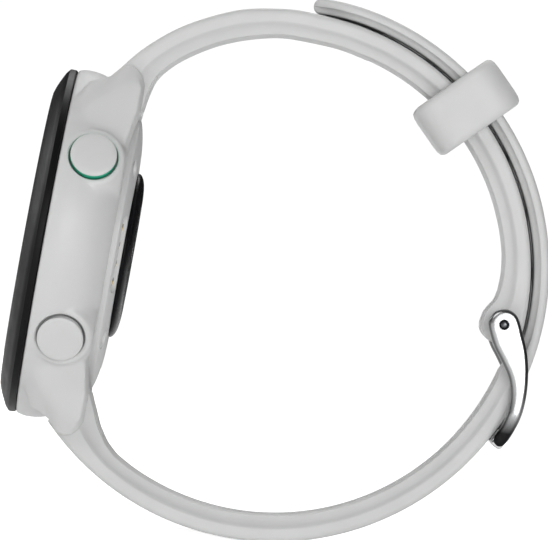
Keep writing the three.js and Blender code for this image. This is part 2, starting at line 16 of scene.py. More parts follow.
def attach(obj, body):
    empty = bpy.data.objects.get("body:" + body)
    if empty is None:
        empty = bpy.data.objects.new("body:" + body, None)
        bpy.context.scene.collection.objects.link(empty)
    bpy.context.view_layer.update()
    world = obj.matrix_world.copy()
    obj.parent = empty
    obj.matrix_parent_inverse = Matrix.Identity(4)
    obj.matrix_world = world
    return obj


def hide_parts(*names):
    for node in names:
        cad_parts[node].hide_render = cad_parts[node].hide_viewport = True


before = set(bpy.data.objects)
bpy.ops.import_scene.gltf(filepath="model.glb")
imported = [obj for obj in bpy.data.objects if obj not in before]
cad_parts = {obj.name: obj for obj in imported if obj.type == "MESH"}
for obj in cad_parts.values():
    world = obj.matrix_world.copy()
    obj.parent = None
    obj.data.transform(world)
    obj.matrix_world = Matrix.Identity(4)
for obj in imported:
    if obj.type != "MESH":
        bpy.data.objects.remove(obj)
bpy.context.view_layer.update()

MM = 0.001
# Steps round a turned shape that doesn't say otherwise.
ROUND = 192

# ---- driving dimensions, in millimetres and degrees ----
# Pairs are (y, z) places. LOOP is the strap loop's centre, BAR the upper spring bar, PIN the buckle's pin.
LOOP = (17.0, 1.8)
BAR = (-3.5, 20.35)
PIN = (44.85, 0.05)
# The y of every button's face, and each one's x and z, its tilt and its side: 1 is 3 o'clock, -1 is
# 9 o'clock, where x counts outwards too.
BUTTON_Y = -6.35
BUTTONS = {
    "start": (18.5, 11.15, 24, 1),
    "back": (18.5, -11.15, -24, 1),
    "light": (18.5, 11.15, 24, -1),
    "up": (21.6, 0.0, 0, -1),
    "down": (18.5, -11.15, -24, -1),
}
# Half the width over a lug at its root, and how far its tip is drawn in over its length.
LUG_HALF = 16.8
LUG_DRAW_IN = 4.3
LUG_ROOT_Z = 10
LUG_LENGTH = 10.3
SCREW_CIRCLE = 14.5
PORT_X = 13.45
PORT_HALF = (1.5, 4.5)
CONTACT_PITCH = 2.15
# What is printed on the dial lies between these two heights.
PRINT_Y = (-11.47, -11.455)
TRACK_TICKS = 30
TRACK_LIT = 21
# The strap halves' outer radii about the loop's centre, the tail's end, and the row of holes.
UPPER_OUTER = 30.3
LOWER_OUTER = 32.5
TAIL_DEG = 92
SECTION_STEP_DEG = 0.75
HOLE_HALF = (1.45, 2.95)
HOLE_DEG = -11.5
HOLE_PITCH_DEG = 13.6
KEEPER_DEG = 50.4
# The buckle: its arms between two distances from the middle, its eye, and its crossbar on the loop.
ARM_X = (9.8, 11.4)
ARM_EYE_R = 1.85
CROSSBAR = (33.53, -27)
WATCH_LEAN_DEG = 10.4


# ---- mesh helpers ----
def make_object(name, verts, faces, material):
    mesh = bpy.data.meshes.new(name)
    mesh.from_pydata([tuple(c * MM for c in v) for v in verts], [], faces)
    mesh.validate()
    obj = bpy.data.objects.new(name, mesh)
    bpy.context.collection.objects.link(obj)
    if material is not None:
        mesh.materials.append(material)
    return obj


def face_outwards(obj):
    bm = bmesh.new()
    bm.from_mesh(obj.data)
    bmesh.ops.remove_doubles(bm, verts=bm.verts, dist=1e-7)
    bmesh.ops.recalc_face_normals(bm, faces=bm.faces)
    bm.to_mesh(obj.data)
    bm.free()
    return obj


def smooth(obj, angle=35):
    """Soft shading everywhere but across edges sharper than the angle."""
    bm = bmesh.new()
    bm.from_mesh(obj.data)
    limit = math.radians(angle)
    for face in bm.faces:
        face.smooth = True
    for edge in bm.edges:
        edge.smooth = len(edge.link_faces) != 2 or edge.calc_face_angle(0) < limit
    bm.to_mesh(obj.data)
    bm.free()
    return obj


def bake_modifiers(obj):
    evaluated = obj.evaluated_get(bpy.context.evaluated_depsgraph_get())
    mesh = bpy.data.meshes.new_from_object(evaluated)
    obj.modifiers.clear()
    old = obj.data
    obj.data = mesh
    bpy.data.meshes.remove(old)
    return obj


def cut(obj, cutters):
    for cutter in cutters:
        face_outwards(cutter)
        mod = obj.modifiers.new("cut", "BOOLEAN")
        mod.operation = "DIFFERENCE"
        mod.solver = "EXACT"
        mod.object = cutter
        bake_modifiers(obj)
        bpy.data.objects.remove(cutter)
    return obj


def joined(objs):
    bm = bmesh.new()
    for obj in objs:
        bm.from_mesh(obj.data)
        if obj is not objs[0]:
            bpy.data.objects.remove(obj)
    bm.to_mesh(objs[0].data)
    bm.free()
    return objs[0]


def joined_as(name, objs):
    obj = joined(objs)
    obj.name = obj.data.name = name
    return obj


def turned(name, profile, material=None, place=None, segments=ROUND):
    """A solid turned about Y from [radius, y] points; it closes on the axis or on itself."""
    rings, verts, faces = [], [], []
    for r, y in profile:
        if r < 1e-6:
            rings.append([len(verts)] * segments)
            verts.append((0, y, 0))
            continue
        rings.append(list(range(len(verts), len(verts) + segments)))
        for i in range(segments):
            a = 2 * math.pi * i / segments
            verts.append((r * math.sin(a), y, r * math.cos(a)))
    closed = profile[0][0] > 0 and profile[-1][0] > 0
    pairs = list(zip(rings, rings[1:] + rings[:1])) if closed else list(zip(rings, rings[1:]))
    for low, high in pairs:
        for i in range(segments):
            j = (i + 1) % segments
            quad = [low[i], low[j], high[j], high[i]]
            corners = list(dict.fromkeys(quad))
            if len(corners) > 2:
                faces.append(corners)
    if place is not None:
        verts = [tuple(place @ Vector(v)) for v in verts]
    return face_outwards(make_object(name, verts, faces, material))


def fillet(corners, radius, steps, closed):
    """Rounds the corners of an outline."""
    points = [Vector(c) for c in corners]
    out = []
    count = len(points)
    for i, p in enumerate(points):
        if not closed and i in (0, count - 1):
            out.append((p.x, p.y))
            continue
        a, b = points[i - 1] - p, points[(i + 1) % count] - p
        reach = min(radius, a.length * 0.45, b.length * 0.45)
        start, end = p + a.normalized() * reach, p + b.normalized() * reach
        for k in range(steps + 1):
            t = k / steps
            q = start * (1 - t) ** 2 + p * 2 * t * (1 - t) + end * t**2
            out.append((q.x, q.y))
    return out


def spline(points, per=10, closed=False):
    """A smooth curve through the points (Catmull-Rom)."""
    pts = [Vector(p) for p in points]
    count = len(pts)
    spans = count if closed else count - 1
    out = []
    for i in range(spans):
        p1, p2 = pts[i], pts[(i + 1) % count]
        p0 = pts[i - 1] if closed or i else p1 * 2 - p2
        p3 = pts[(i + 2) % count] if closed or i + 2 < count else p2 * 2 - p1
        for k in range(per):
            t = k / per
            q = 0.5 * (2 * p1 + (p2 - p0) * t + (2 * p0 - 5 * p1 + 4 * p2 - p3) * t**2
                       + (3 * p1 - p0 - 3 * p2 + p3) * t**3)
            out.append((q.x, q.y))
    if not closed:
        out.append((pts[-1].x, pts[-1].y))
    return out


def area_of(outline):
    return sum(a[0] * b[1] - b[0] * a[1] for a, b in zip(outline, outline[1:] + outline[:1])) / 2


def inset(outline, depth):
    """Moves an outline inwards by depth, corner by corner."""
    turn = 1 if area_of(outline) > 0 else -1
    out = []
    count = len(outline)
    for i, point in enumerate(outline):
        p, a, b = Vector(point), Vector(outline[i - 1]), Vector(outline[(i + 1) % count])
        d1, d2 = (p - a).normalized(), (b - p).normalized()
        n1, n2 = Vector((-d1.y, d1.x)) * turn, Vector((-d2.y, d2.x)) * turn
        n = (n1 + n2).normalized()
        q = p + n * depth / max(0.5, n.dot(n1))
        out.append((q.x, q.y))
    return out


def plate(name, outline, x0, x1, material=None, edge=0.3, steps=5):
    """A side outline of (y, z) points stretched from x0 to x1 with rounded edges."""
    rows = []
    for k in range(steps + 1):
        a = math.pi / 2 * k / steps
        rows.append((x0 + edge * (1 - math.cos(a)), edge * (1 - math.sin(a))))
    rows += [(x0 + x1 - x, depth) for x, depth in reversed(rows)]
    verts, faces = [], []
    count = len(outline)
    for x, depth in rows:
        verts += [(x, y, z) for y, z in (inset(outline, depth) if depth > 1e-6 else outline)]
    for r in range(len(rows) - 1):
        for i in range(count):
            j = (i + 1) % count
            faces.append([r * count + i, r * count + j, (r + 1) * count + j, (r + 1) * count + i])
    faces.append(list(range(count)))
    faces.append([(len(rows) - 1) * count + i for i in range(count)])
    return face_outwards(make_object(name, verts, faces, material))


def tube_grid(name, rows, material=None, closed=False):
    """Skins rows of points, each row a closed ring. Both ends get a cap unless the rows run in a circle."""
    count = len(rows[0])
    verts = [p for row in rows for p in row]
    faces = []
    spans = len(rows) if closed else len(rows) - 1
    for r in range(spans):
        low, high = r * count, ((r + 1) % len(rows)) * count
        for i in range(count):
            j = (i + 1) % count
            faces.append([low + i, low + j, high + j, high + i])
    if not closed:
        faces.append(list(range(count)))
        faces.append([(len(rows) - 1) * count + i for i in range(count)])
    return face_outwards(make_object(name, verts, faces, material))


def slab(name, outline, y0, y1, material):
    """A flat shape of (x, z) points between two heights."""
    count = len(outline)
    verts = [(x, y, z) for y in (y0, y1) for x, z in outline]
    faces = [list(range(count)), list(range(count, 2 * count))]
    faces += [[i, (i + 1) % count, count + (i + 1) % count, count + i] for i in range(count)]
    return face_outwards(make_object(name, verts, faces, material))


def circle(middle, r, count):
    turns = [2 * math.pi * i / count for i in range(count)]
    return [(middle[0] + r * math.cos(a), middle[1] + r * math.sin(a)) for a in turns]


def rod_x(y, z, r, x0, x1):
    rows = [[(x, cy, cz) for cy, cz in circle((y, z), r, 32)] for x in (x0, x1)]
    return tube_grid("rod", rows)


def rounded_rect(half_a, half_b, r, steps=6):
    corners = []
    for quarter, (sa, sb) in enumerate(((1, 1), (-1, 1), (-1, -1), (1, -1))):
        for k in range(steps + 1):
            a = math.pi / 2 * (quarter + k / steps)
            corners.append((sa * (half_a - r) + r * math.cos(a), sb * (half_b - r) + r * math.sin(a)))
    return corners


def on_loop(r, deg):
    """The (y, z) point at this radius and angle about the strap loop's centre."""
    a = math.radians(deg)
    return LOOP[0] + r * math.cos(a), LOOP[1] + r * math.sin(a)


def to_polar(y, z):
    """The inverse of on_loop."""
    return math.hypot(y - LOOP[0], z - LOOP[1]), math.degrees(math.atan2(z - LOOP[1], y - LOOP[0]))


def button_place(name):
    """Puts a turned shape's +Y along the button's outward axis, with its origin on the button's face."""
    x, z, tilt, side = BUTTONS[name]
    out = Vector((side * math.cos(math.radians(tilt)), 0, math.sin(math.radians(tilt))))
    up = Vector((0, 1, 0))
    place = Matrix((up, out, up.cross(out))).transposed().to_4x4()
    place.translation = (side * x, BUTTON_Y, z)
    return place


def ease(value, low, high):
    """Rises softly from 0 at low to 1 at high."""
    t = min(1, max(0, (value - low) / (high - low)))
    return t * t * (3 - 2 * t)


def fine_remesh(obj, size, iterations):
    """Turns a rough solid into a fine even mesh and rounds its edges."""
    remesh = obj.modifiers.new("remesh", "REMESH")
    remesh.mode = "VOXEL"
    remesh.voxel_size = size * MM
    soften = obj.modifiers.new("soften", "SMOOTH")
    soften.factor = 0.5
    soften.iterations = iterations
    return bake_modifiers(obj)


# ---- materials ----
def new_material(name):
    material = bpy.data.materials.new(name)
    material.use_nodes = True
    shader = material.node_tree.nodes["Principled BSDF"]
    return material, material.node_tree, shader


def coordinates(tree, kind):
    return tree.nodes.new("ShaderNodeTexCoord").outputs[kind]


def split_axes(tree, vector):
    node = tree.nodes.new("ShaderNodeSeparateXYZ")
    tree.links.new(vector, node.inputs["Vector"])
    return node.outputs


def calculate(tree, operation, *factors):
    node = tree.nodes.new("ShaderNodeMath")
    node.operation = operation
    for i, factor in enumerate(factors):
        tree.links.new(factor, node.inputs[i])
    return node.outputs["Value"]


def noise(tree, scale, detail=3.0, stretch=None):
    texture = tree.nodes.new("ShaderNodeTexNoise")
    texture.inputs["Scale"].default_value = scale
    texture.inputs["Detail"].default_value = detail
    source = coordinates(tree, "Object")
    if stretch:
        mapping = tree.nodes.new("ShaderNodeMapping")
        mapping.inputs["Scale"].default_value = stretch
        tree.links.new(source, mapping.inputs["Vector"])
        source = mapping.outputs["Vector"]
    tree.links.new(source, texture.inputs["Vector"])
    return texture.outputs["Fac"]


def ramp(tree, factor, stops):
    node = tree.nodes.new("ShaderNodeValToRGB")
    elements = node.color_ramp.elements
    for element, (place, colour) in zip(elements, stops):
        element.position = place
        element.color = (*colour, 1)
    tree.links.new(factor, node.inputs["Fac"])
    return node.outputs["Color"]


def spread(tree, factor, low, high, start=0.3, end=0.7):
    """Goes from low to high as the factor goes from start to end."""
    node = tree.nodes.new("ShaderNodeMapRange")
    values = (start, end, low, high)
    for key, value in zip(("From Min", "From Max", "To Min", "To Max"), values):
        node.inputs[key].default_value = value
    tree.links.new(factor, node.inputs["Value"])
    return node.outputs["Result"]


def bump(tree, shader, height, distance, strength=0.5):
    node = tree.nodes.new("ShaderNodeBump")
    node.inputs["Distance"].default_value = distance
    node.inputs["Strength"].default_value = strength
    tree.links.new(height, node.inputs["Height"])
    tree.links.new(node.outputs["Normal"], shader.inputs["Normal"])


def toned(colour, factor):
    return tuple(min(1, c * factor) for c in colour)


def moulded(name, colour, roughness=(0.4, 0.5), grain=5200, depth=0.000012, tone=0.05, **sockets):
    """Moulded plastic or rubber: a fine moulding grain, and a little uneven in tone and gloss."""
    material, tree, shader = new_material(name)
    broad = noise(tree, 160, 4)
    fine = noise(tree, grain, 2)
    stops = [(0.3, toned(colour, 1 - tone)), (0.7, toned(colour, 1 + tone))]
    tree.links.new(ramp(tree, broad, stops), shader.inputs["Base Color"])
    tree.links.new(spread(tree, noise(tree, 420, 5), *roughness), shader.inputs["Roughness"])
    bump(tree, shader, fine, depth)
    for key, value in sockets.items():
        shader.inputs[key.replace("_", " ")].default_value = value
    return material


def metal(name, colour, roughness, stretch, depth=0.000004, scale=900):
    """Metal with fine lines along one direction."""
    material, tree, shader = new_material(name)
    shader.inputs["Metallic"].default_value = 1
    lines = noise(tree, scale, 4, stretch)
    stops = [(0.3, toned(colour, 0.94)), (0.7, colour)]
    tree.links.new(ramp(tree, lines, stops), shader.inputs["Base Color"])
    tree.links.new(spread(tree, lines, *roughness), shader.inputs["Roughness"])
    bump(tree, shader, lines, depth, 0.35)
    return material


SHELL = moulded("shell_polymer", (0.68, 0.685, 0.68), (0.4, 0.5), 6500, 0.000008, 0.02)
STRAP = moulded("strap_silicone", (0.67, 0.675, 0.67), (0.5, 0.62), 4200, 0.000014, 0.03,
                Sheen_Weight=0.08, Sheen_Roughness=0.5)
BEZEL = moulded("bezel_polymer", (0.005, 0.005, 0.0055), (0.36, 0.46), 7000, 0.000012, 0.15,
                Specular_IOR_Level=0.16)
BLACK = moulded("black_rubber", (0.02, 0.02, 0.02), (0.6, 0.75), 3000, 0.00002, 0.1)
CHASSIS = moulded("chassis_plastic", (0.05, 0.05, 0.055), (0.45, 0.6), 3500, 0.00002, 0.1)
ACCENT = moulded("accent_green", (0.028, 0.46, 0.28), (0.28, 0.36), 5000, 0.000006, 0.05)
SENSOR = moulded("sensor_gloss", (0.006, 0.006, 0.007), (0.24, 0.32), 2500, 0.000001, 0.1,
                 Specular_IOR_Level=0.08)
SENSOR_PANE = moulded("sensor_pane", (0.02, 0.035, 0.03), (0.05, 0.1), 2500, 0.000001, 0.2, Coat_Weight=1.0)
BOARD = moulded("circuit_board", (0.015, 0.09, 0.045), (0.35, 0.5), 1800, 0.00003, 0.25)
DISPLAY = moulded("display_panel", (0.010, 0.011, 0.012), (0.2, 0.3), 8000, 0.000002, 0.1)
DIAL_MARK = moulded("dial_print", (0.75, 0.76, 0.76), (0.45, 0.55), 6000, 0.000004, 0.03)
POLISHED = metal("polished_steel", (0.86, 0.865, 0.87), (0.07, 0.13), (1, 12, 1), 0.0000015, 1400)
STEEL = metal("brushed_steel", (0.55, 0.56, 0.57), (0.25, 0.4), (1, 1, 14))
# Painted shade: this dark steel is for the buckle pin, so that the pin's end reads as the shaded hole in
# the arm.
DARK_STEEL_PAINTED_SHADE = metal("dark_steel_painted_shade", (0.16, 0.165, 0.17), (0.28, 0.4), (14, 1, 1))
GOLD = metal("gold_plate", (0.83, 0.62, 0.26), (0.15, 0.25), (1, 1, 1), 0.000002, 2000)
FOIL = metal("battery_foil", (0.5, 0.52, 0.54), (0.35, 0.5), (4, 1, 1), 0.00001, 700)


def arm_steel_painted_reflection():
    """The polished steel of the buckle's arms, with painted dark reflections on the rolled edges and at the
    crossbar end.
    """
    material, tree, shader = new_material("arm_steel_painted_reflection")
    shader.inputs["Metallic"].default_value = 1
    lines = noise(tree, 1400, 4, (1, 12, 1))
    steel = ramp(tree, lines, [(0.3, (0.58, 0.585, 0.59)), (0.7, (0.62, 0.625, 0.63))])
    height = split_axes(tree, coordinates(tree, "Object"))["Z"]
    # Painted dark reflection towards the crossbar end: the colour darkens with the arm's height.
    painted_dark_end = spread(tree, height, 0.02, 1.0, -0.0126, -0.0102)
    # Painted dark reflection on the rolled edges, where the normal turns away from the flat face.
    flatness = calculate(tree, "ABSOLUTE", split_axes(tree, coordinates(tree, "Normal"))["X"])
    painted_dark_edges = spread(tree, flatness, 0.35, 1.0, 0.78, 0.97)
    dim = tree.nodes.new("ShaderNodeMix")
    dim.data_type = "RGBA"
    # The near-black colour of the painted reflections.
    dim.inputs["A"].default_value = (0.014, 0.014, 0.015, 1)
    tree.links.new(calculate(tree, "MULTIPLY", painted_dark_end, painted_dark_edges), dim.inputs["Factor"])
    tree.links.new(steel, dim.inputs["B"])
    tree.links.new(dim.outputs["Result"], shader.inputs["Base Color"])
    tree.links.new(spread(tree, lines, 0.26, 0.34), shader.inputs["Roughness"])
    bump(tree, shader, lines, 0.0000015, 0.35)
    return material


ARM_STEEL_PAINTED_REFLECTION = arm_steel_painted_reflection()


def lens_glass():
    """A thin tinted pane, nearly clear."""
    material, tree, shader = new_material("lens_glass")
    shader.inputs["Alpha"].default_value = 0.16
    tree.links.new(spread(tree, noise(tree, 300, 3), 0.03, 0.05), shader.inputs["Roughness"])
    stops = [(0.3, (0.018, 0.02, 0.024)), (0.7, (0.022, 0.024, 0.028))]
    tree.links.new(ramp(tree, noise(tree, 120), stops), shader.inputs["Base Color"])
    return material


# ---- case ----
def barrel_outline():
    wall = [(20.72, -10.22), (20.93, -9.4), (20.96, -8.6), (20.8, -7.4), (20.45, -6.3), (19.95, -5.1)]
    foot = [(19.2, -4.1), (18.1, -3.2), (17.1, -2.65), (16.5, -2.45)]
    side = spline(wall + foot, 6)
    return [(0, -10.3), (20.62, -10.3)] + side + [(0, -2.45)]


# The lug seen from the side: its full outline, and the smaller outline of its outer facet.
LUG_OUTLINE = [(-9.7, 10), (-9.7, 17.3), (-8.4, 19.6), (-6.3, 20.5), (-5.6, 21.2), (-5, 21.95),
               (-4.1, 22.25), (-3.2, 22), (-2.5, 21.3), (-2.0, 20.2), (-1.95, 16.9), (-3.2, 10)]
LUG_FACET = [(-8.7, 10), (-8.6, 15.4), (-7.9, 16.9), (-6.6, 18.2), (-5.8, 18.9), (-5, 19.6),
             (-4.2, 20.15), (-3.4, 20.6), (-2.8, 20.5), (-2.35, 19.8), (-2.35, 16.9), (-3.5, 10)]


def lug_width(z):
    return LUG_HALF - LUG_DRAW_IN * min(1, (z - LUG_ROOT_Z) / LUG_LENGTH)


def lug_block(sign):
    """The lug's full outline, drawn in at each side to a facet that leans in towards the strap."""
    shoulder = 11.5 / 13.2
    full = [(shoulder * lug_width(z), y, sign * z) for y, z in LUG_OUTLINE]
    facet = [(lug_width(z), y, sign * z) for y, z in LUG_FACET]
    rows = [facet, full, [(-x, y, z) for x, y, z in full], [(-x, y, z) for x, y, z in facet]]
    return tube_grid("lug", rows)


def button_seat(name):
    """The raised ring that a button sits in, trimmed to the height of the case wall."""
    corners = [(0, -4.6), (4.9, -4.6), (3.9, -1.6), (3.55, -0.87), (0, -0.87)]
    flare = fillet(corners, 0.5, 4, closed=False)
    seat = turned("seat", flare, place=button_place(name), segments=64)
    bm = bmesh.new()
    bm.from_mesh(seat.data)
    for height, up in ((-10.25, 1), (-2.6, -1)):
        geometry = bm.verts[:] + bm.edges[:] + bm.faces[:]
        cutting = bmesh.ops.bisect_plane(bm, geom=geometry, plane_co=(0, height * MM, 0),
                                         plane_no=(0, -up, 0), clear_outer=True)
        rim = [e for e in cutting["geom_cut"] if isinstance(e, bmesh.types.BMEdge)]
        bmesh.ops.contextual_create(bm, geom=rim)
    bm.to_mesh(seat.data)
    bm.free()
    return face_outwards(seat)


def pocket(name):
    """The round recess and stem bore of a button."""
    profile = [(0, -8), (1.4, -8), (1.4, -2.1), (2.9, -2.1), (2.9, -1.08), (2.93, -0.98), (3.0, -0.9),
               (3.1, -0.86), (3.2, 2), (0, 2)]
    return turned("pocket", profile, place=button_place(name), segments=96)


def strap_slot(sign):
    """The gap between the two flanks of a lug, where the strap end sits."""
    outline = [(-6.3, 20.52), (-2.1, 16.75), (-1.6, 16.3), (1, 16.3), (1, 26), (-6.3, 26)]
    return plate("slot", [(y, sign * z) for y, z in outline], -10.3, 10.3, edge=0.001, steps=1)


def blend_flanks(shell):
    """Runs the lug facets and the feet of the button seats softly into the case wall."""
    axes = [(button_place(name).to_translation(), button_place(name).to_3x3().col[1]) for name in BUTTONS]
    group = shell.vertex_groups.new(name="flanks")
    for vert in shell.data.vertices:
        p = vert.co / MM
        start = 10.8 if p.y < -7.2 else 11.8
        weight = ease(abs(p.x), start, start + 1) * ease(-p.y, 2.7, 3.4) * ease(p.y, -10.1, -9.7)
        for middle, out in axes:
            arm = p - middle
            if arm.dot(out) > -5:
                weight *= ease((arm - out * arm.dot(out)).length, 3.6, 4.3)
        if weight > 0.01:
            group.add([vert.index], weight, "REPLACE")
    blend = shell.modifiers.new("blend", "SMOOTH")
    blend.factor = 0.5
    blend.iterations = 160
    blend.vertex_group = "flanks"
    bake_modifiers(shell)


def case_body():
    """The case shell: barrel, lugs and button seats in one skin, hollowed from the front and the back."""
    barrel = turned("case_shell", barrel_outline(), segments=160)
    seats = [button_seat(name) for name in BUTTONS]
    shell = joined([barrel, lug_block(1), lug_block(-1), *seats])
    fine_remesh(shell, size=0.17, iterations=9)
    blend_flanks(shell)
    cavity = [(0, -12), (17.6, -12), (17.6, -4.7), (13.4, -4.7), (13.4, -2.95)]
    cover_step = [(16.45, -2.95), (16.45, -2.6), (16.6, -2.3), (16.7, 0), (0, 0)]
    hollow = turned("hollow", cavity + cover_step)
    bars = [rod_x(BAR[0], s * BAR[1], 0.65, -11.7, 11.7) for s in (1, -1)]
    cut(shell, [hollow, strap_slot(1), strap_slot(-1), *[pocket(name) for name in BUTTONS], *bars])
    slim = shell.modifiers.new("slim", "DECIMATE")
    slim.ratio = 0.45
    bake_modifiers(shell)
    shell.data.materials.clear()
    shell.data.materials.append(SHELL)
    return smooth(shell, 38)


def bezel_ring():
    nose = spline([(20.7, -11.2), (20.2, -11.62), (19.5, -11.98), (18.6, -12.4), (17.75, -12.7)], 5)
    points = [(15.6, -10.35), (20.55, -10.35), (20.7, -10.5), (20.72, -11.0)] + nose
    points += [(17.3, -12.75), (17.0, -12.74), (16.8, -12.6), (16.8, -10.9), (15.6, -10.9)]
    return smooth(turned("bezel_ring", points, BEZEL), 40)


def lens_disc(glass):
    points = [(0, -11.6), (16.42, -11.6), (16.5, -11.7), (16.5, -12.4), (16.4, -12.55), (16.2, -12.65),
              (15.9, -12.68), (0, -12.68)]
    return smooth(turned("lens_disc", points, glass), 40)


# ---- dial: minute marks on the ring and generic digits on the panel ----
def minute_marks():
    marks = []
    for minute in range(60):
        major = minute % 5 == 0
        inner, outer, half = (12.9 if major else 13.4), 13.85, (0.16 if major else 0.07)
        a = math.radians(minute * 6)
        across, out = Vector((math.cos(a), -math.sin(a))), Vector((math.sin(a), math.cos(a)))
        reaches = ((inner, -half), (outer, -half), (outer, half), (inner, half))
        corners = [tuple(out * r + across * s) for r, s in reaches]
        marks.append(slab("mark", corners, *PRINT_Y, DIAL_MARK))
    return joined_as("dial_marks", marks)


# A seven-segment figure: each segment's two ends in a box of unit size, and the segments of each digit.
SEGMENTS = {
    "a": ((0, 1), (1, 1)), "b": ((1, 1), (1, 0.5)), "c": ((1, 0.5), (1, 0)), "d": ((0, 0), (1, 0)),
    "e": ((0, 0), (0, 0.5)), "f": ((0, 0.5), (0, 1)), "g": ((0, 0.5), (1, 0.5)),
}
DIGITS = {"0": "abcdef", "1": "bc", "2": "abged", "3": "abgcd", "8": "abcdefg"}


def digit(character, x, z, width, height, thick):
    bars = []
    for key in DIGITS[character]:
        (u0, v0), (u1, v1) = SEGMENTS[key]
        a, b = Vector((x + u0 * width, z + v0 * height)), Vector((x + u1 * width, z + v1 * height))
        along = (b - a).normalized()
        side = Vector((-along.y, along.x)) * thick / 2
        a, b = a + along * thick * 0.6, b - along * thick * 0.6
        tip = along * thick / 2
        corners = [a - tip, a + side, b + side, b + tip, b - side, a - side]
        bars.append(slab("bar", [tuple(c) for c in corners], *PRINT_Y, DIAL_MARK))
    return bars


def dial_digits():
    """The time in large figures with a colon, and the day above it."""
    bars = []
    for character, x in zip("1028", (-7.2, -3.2, 1.2, 5.2)):
        bars += digit(character, x, z=-2.2, width=2.6, height=5.0, thick=0.62)
    square = ((-0.3, -0.3), (0.3, -0.3), (0.3, 0.3), (-0.3, 0.3))
    for z in (-0.7, 1.3):
        bars.append(slab("dot", [(-0.15 + a, z + b) for a, b in square], *PRINT_Y, DIAL_MARK))
    for character, x in zip("23", (-1.6, 0.3)):
        bars += digit(character, x, z=5.4, width=1.1, height=2.1, thick=0.28)
    return joined_as("dial_digits", bars)


def step_track():
    """A ring gauge low on the dial, a little over two thirds filled."""
    inner, outer = 11.1, 11.9
    ticks = []
    for i in range(TRACK_TICKS):
        start_deg = 125 + i * 3.7
        a0, a1 = math.radians(start_deg), math.radians(start_deg + 3.0)
        material = ACCENT if i < TRACK_LIT else CHASSIS
        reaches = ((inner, a0), (outer, a0), (outer, a1), (inner, a1))
        corners = [(r * math.sin(a), r * math.cos(a)) for r, a in reaches]
        ticks.append(slab("tick", corners, *PRINT_Y, material))
    return ticks


# ---- back ----
def rear_cover():
    points = [(8, -2.85), (16.2, -2.85), (16.2, -2.1)]
    crown = [(16.16, -1.92), (16.0, -1.78), (15, -1.5), (13.5, -1.24), (12.2, -1.12), (11, -1.1)]
    points += spline(crown, 6) + [(8, -1.1)]
    plate_obj = turned("rear_cover_plate", points, SHELL)
    cutters = [slot_cutter()]
    for x, z in screw_spots():
        place = Matrix.Translation((x, 0, z))
        profile = [(0, -2.2), (1.12, -2.2), (1.12, -1.6), (1.25, -1.2), (1.3, 0), (0, 0)]
        cutters.append(turned("sink", profile, place=place, segments=48))
    return smooth(cut(plate_obj, cutters), 30)


def screw_spots():
    reach = SCREW_CIRCLE * math.sqrt(0.5)
    return [(reach, reach), (-reach, reach), (-reach, -reach), (reach, -reach)]


def port_row(y, grow, corner):
    half_x, half_z = PORT_HALF
    return [(PORT_X + a, y, b) for a, b in rounded_rect(half_x + grow, half_z + grow, corner + grow)]


def slot_cutter():
    """The charging recess, flared where it opens."""
    rows = [port_row(y, grow, 0.9) for y, grow in ((-1.95, 0), (-1.6, 0), (-1.3, 0.15), (0, 0.3))]
    return tube_grid("port_recess", rows)


def port_block():
    """The block that holds the contacts, a little smaller than its recess."""
    heights = ((-1.93, -0.08), (-1.75, -0.08), (-1.66, -0.12), (-1.62, -0.22))
    rows = [port_row(y, grow, 0.93) for y, grow in heights]
    return smooth(tube_grid("charge_port_block", rows, CHASSIS), 40)


def contact(index):
    z = (index - 1.5) * CONTACT_PITCH
    profile = [(0, -1.9), (0.5, -1.9), (0.5, -1.6), (0.46, -1.54), (0.36, -1.5), (0.2, -1.48), (0, -1.475)]
    place = Matrix.Translation((PORT_X, 0, z))
    return smooth(turned(f"charge_pin_{index + 1}", profile, GOLD, place, 40), 40)


def rear_screw(index):
    """A pan head with a six-lobed recess."""
    x, z = screw_spots()[index]
    place = Matrix.Translation((x, 0, z))
    profile = [(0, -4.4), (0.3, -4.4), (0.5, -4.1), (0.5, -2.15), (0.98, -2.15), (1.0, -2.1), (1.0, -1.75),
               (0.94, -1.65), (0.8, -1.6), (0, -1.6)]
    body = turned(f"rear_screw_head_{index + 1}", profile, STEEL, place, 64)
    star = []
    for i in range(48):
        a = 2 * math.pi * i / 48
        star.append((0.47 + 0.09 * math.cos(6 * a), a))
    rows = [[(x + r * math.cos(a), y, z + r * math.sin(a)) for r, a in star] for y in (-2.0, -1.0)]
    return smooth(cut(body, [tube_grid("star", rows)]), 40)


def sensor_dome():
    crown = [(9.88, -1.04), (9.88, -0.85), (9.7, -0.6), (9.3, -0.36), (8.8, -0.19), (8.2, -0.08),
             (7.5, -0.01)]
    points = [(0, -2.1), (7.7, -2.1), (7.7, -1.09), (9.8, -1.09)] + spline(crown, 5) + [(7.2, 0), (0, 0)]
    return smooth(turned("sensor_glass", points, SENSOR), 40)


def sensor_panes():
    """The emitter and detector windows that show through the sensor's face."""
    panes = []
    spots = (("emitter", 0, 0, 1.5, 1.5), ("left", -3.9, 0, 1.0, 1.7), ("right", 3.9, 0, 1.0, 1.7),
             ("upper", 0, 3.9, 1.7, 1.0))
    for name, x, z, half_x, half_z in spots:
        outline = [(x + a, z + b) for a, b in rounded_rect(half_x, half_z, 0.5)]
        panes.append(slab(f"sensor_pane_{name}", outline, -0.05, 0.008, SENSOR_PANE))
    ring = [(5.9, -0.05), (6.05, -0.05), (6.05, 0.006), (5.9, 0.006)]
    panes.append(smooth(turned("sensor_pane_ring", ring, STEEL)))
    return panes


